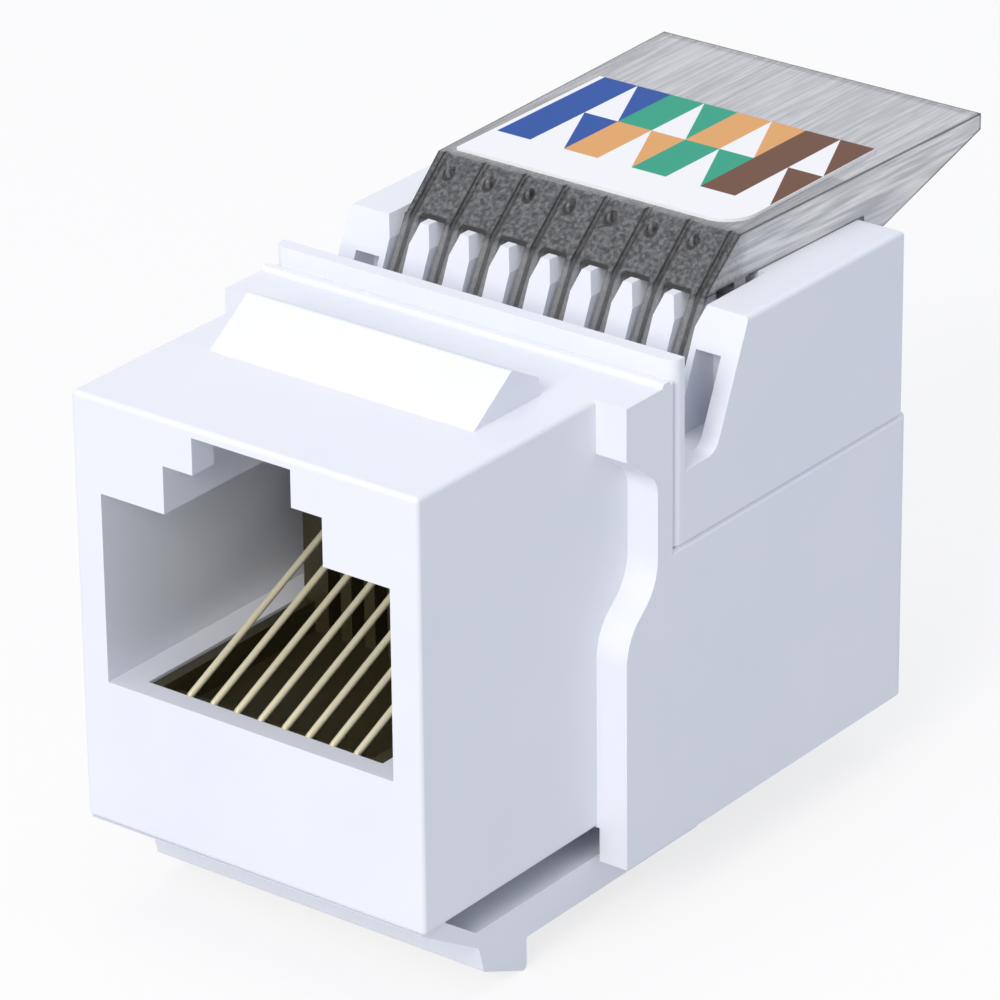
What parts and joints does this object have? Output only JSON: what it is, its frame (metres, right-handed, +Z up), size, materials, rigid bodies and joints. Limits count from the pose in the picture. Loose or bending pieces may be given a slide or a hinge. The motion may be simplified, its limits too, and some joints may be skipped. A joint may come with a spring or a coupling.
{
  "type": "keystone jack",
  "caption": "Snap-in modular jack with a plug port, sprung contacts, a release latch, a punch-down terminal block and a lift-off wire cap.",
  "frame": {"origin": "middle of the port's mouth, on the nose's front face", "axes": "+X to the right seen from the front, +Y from the mouth to the back, +Z up"},
  "size_m": [0.017, 0.0328, 0.0223],
  "materials": {
    "white_plastic": "fine satin moulding",
    "board": "glass-filled board with a green resist",
    "black_plastic": "dull black moulding",
    "smoky_plastic": "clear grey moulding",
    "label": "printed colour-code label",
    "gold_contact": "gold-plated spring wire",
    "tinned_blade": "tin-plated bronze"
  },
  "bodies": {
    "jack": {"housing": "white_plastic", "terminal_block": "white_plastic", "contact_carrier": "black_plastic", "circuit_board": "board", "wire_blade_1": "tinned_blade", "wire_blade_2": "tinned_blade", "wire_blade_3": "tinned_blade", "wire_blade_4": "tinned_blade", "wire_blade_5": "tinned_blade", "wire_blade_6": "tinned_blade", "wire_blade_7": "tinned_blade", "wire_blade_8": "tinned_blade"},
    "latch": {"release_latch": "white_plastic"},
    "cap": {"wire_cap": "smoky_plastic", "wiring_label": "label"},
    "spring_contact_1": {"contact_1": "gold_contact"},
    "spring_contact_2": {"contact_2": "gold_contact"},
    "spring_contact_3": {"contact_3": "gold_contact"},
    "spring_contact_4": {"contact_4": "gold_contact"},
    "spring_contact_5": {"contact_5": "gold_contact"},
    "spring_contact_6": {"contact_6": "gold_contact"},
    "spring_contact_7": {"contact_7": "gold_contact"},
    "spring_contact_8": {"contact_8": "gold_contact"}
  },
  "joints": [
    {"name": "latch_flex", "type": "hinge", "parent": "jack", "child": "latch", "pos_m": [0, 0.0012, -0.00889], "axis": [1, 0, 0], "range_deg": [0, 4.2], "stiffness_Nm_per_rad": 2.7},
    {"name": "cap_lift", "type": "slide", "parent": "jack", "child": "cap", "axis": [0, 0, 1], "range_m": [0, 0.006]},
    {"name": "contact_1_flex", "type": "hinge", "parent": "jack", "child": "spring_contact_1", "pos_m": [-0.00357, 0.00135, -0.00386], "axis": [1, 0, 0], "range_deg": [-14, 0], "stiffness_Nm_per_rad": 0.03},
    {"name": "contact_2_flex", "type": "hinge", "parent": "jack", "child": "spring_contact_2", "pos_m": [-0.00255, 0.00135, -0.00386], "axis": [1, 0, 0], "range_deg": [-14, 0], "stiffness_Nm_per_rad": 0.03},
    {"name": "contact_3_flex", "type": "hinge", "parent": "jack", "child": "spring_contact_3", "pos_m": [-0.00153, 0.00135, -0.00386], "axis": [1, 0, 0], "range_deg": [-14, 0], "stiffness_Nm_per_rad": 0.03},
    {"name": "contact_4_flex", "type": "hinge", "parent": "jack", "child": "spring_contact_4", "pos_m": [-0.00051, 0.00135, -0.00386], "axis": [1, 0, 0], "range_deg": [-14, 0], "stiffness_Nm_per_rad": 0.03},
    {"name": "contact_5_flex", "type": "hinge", "parent": "jack", "child": "spring_contact_5", "pos_m": [0.00051, 0.00135, -0.00386], "axis": [1, 0, 0], "range_deg": [-14, 0], "stiffness_Nm_per_rad": 0.03},
    {"name": "contact_6_flex", "type": "hinge", "parent": "jack", "child": "spring_contact_6", "pos_m": [0.00153, 0.00135, -0.00386], "axis": [1, 0, 0], "range_deg": [-14, 0], "stiffness_Nm_per_rad": 0.03},
    {"name": "contact_7_flex", "type": "hinge", "parent": "jack", "child": "spring_contact_7", "pos_m": [0.00255, 0.00135, -0.00386], "axis": [1, 0, 0], "range_deg": [-14, 0], "stiffness_Nm_per_rad": 0.03},
    {"name": "contact_8_flex", "type": "hinge", "parent": "jack", "child": "spring_contact_8", "pos_m": [0.00357, 0.00135, -0.00386], "axis": [1, 0, 0], "range_deg": [-14, 0], "stiffness_Nm_per_rad": 0.03}
  ]
}
